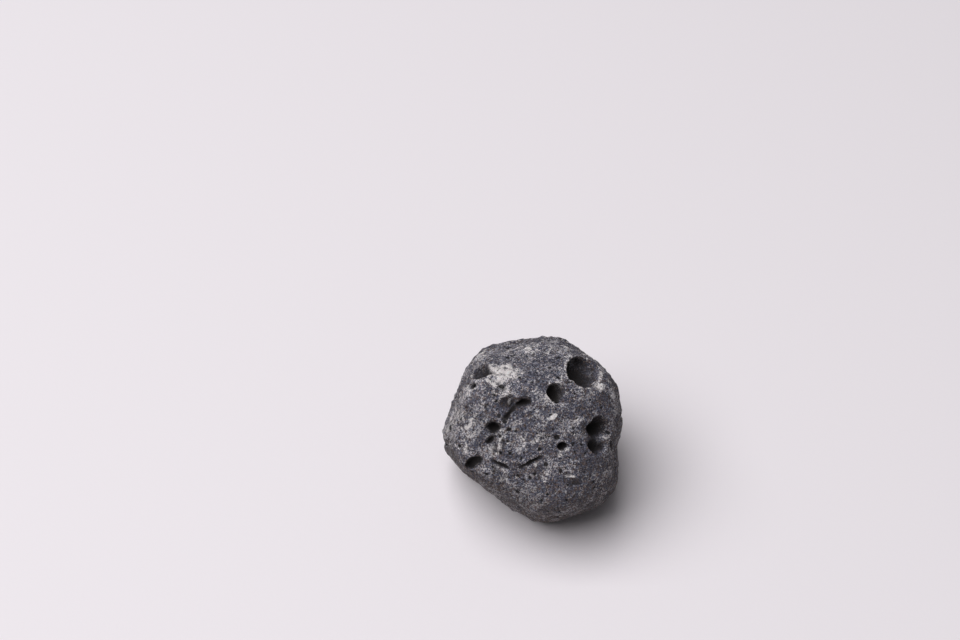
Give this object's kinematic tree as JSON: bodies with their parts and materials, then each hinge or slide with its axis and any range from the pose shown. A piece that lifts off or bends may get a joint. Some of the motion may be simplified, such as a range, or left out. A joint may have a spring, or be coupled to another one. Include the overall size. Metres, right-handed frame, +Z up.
{
  "type": "lava rock pebble",
  "caption": "Tumbled pebble of dark grey vesicular basalt with worn facets and open gas-bubble pits, resting on a small worn flat.",
  "frame": {"origin": "on the plane of the worn flat that the stone rests on, under the middle of its sides", "axes": "+Z up, away from the resting flat, along the stone's shortest extent; +Y along its longest extent, towards its back"},
  "size_m": [0.0266, 0.0298, 0.0249],
  "materials": {
    "basalt": "matt, tumbled, pitted"
  },
  "bodies": {
    "root": {"lava_stone": "basalt"}
  },
  "joints": []
}
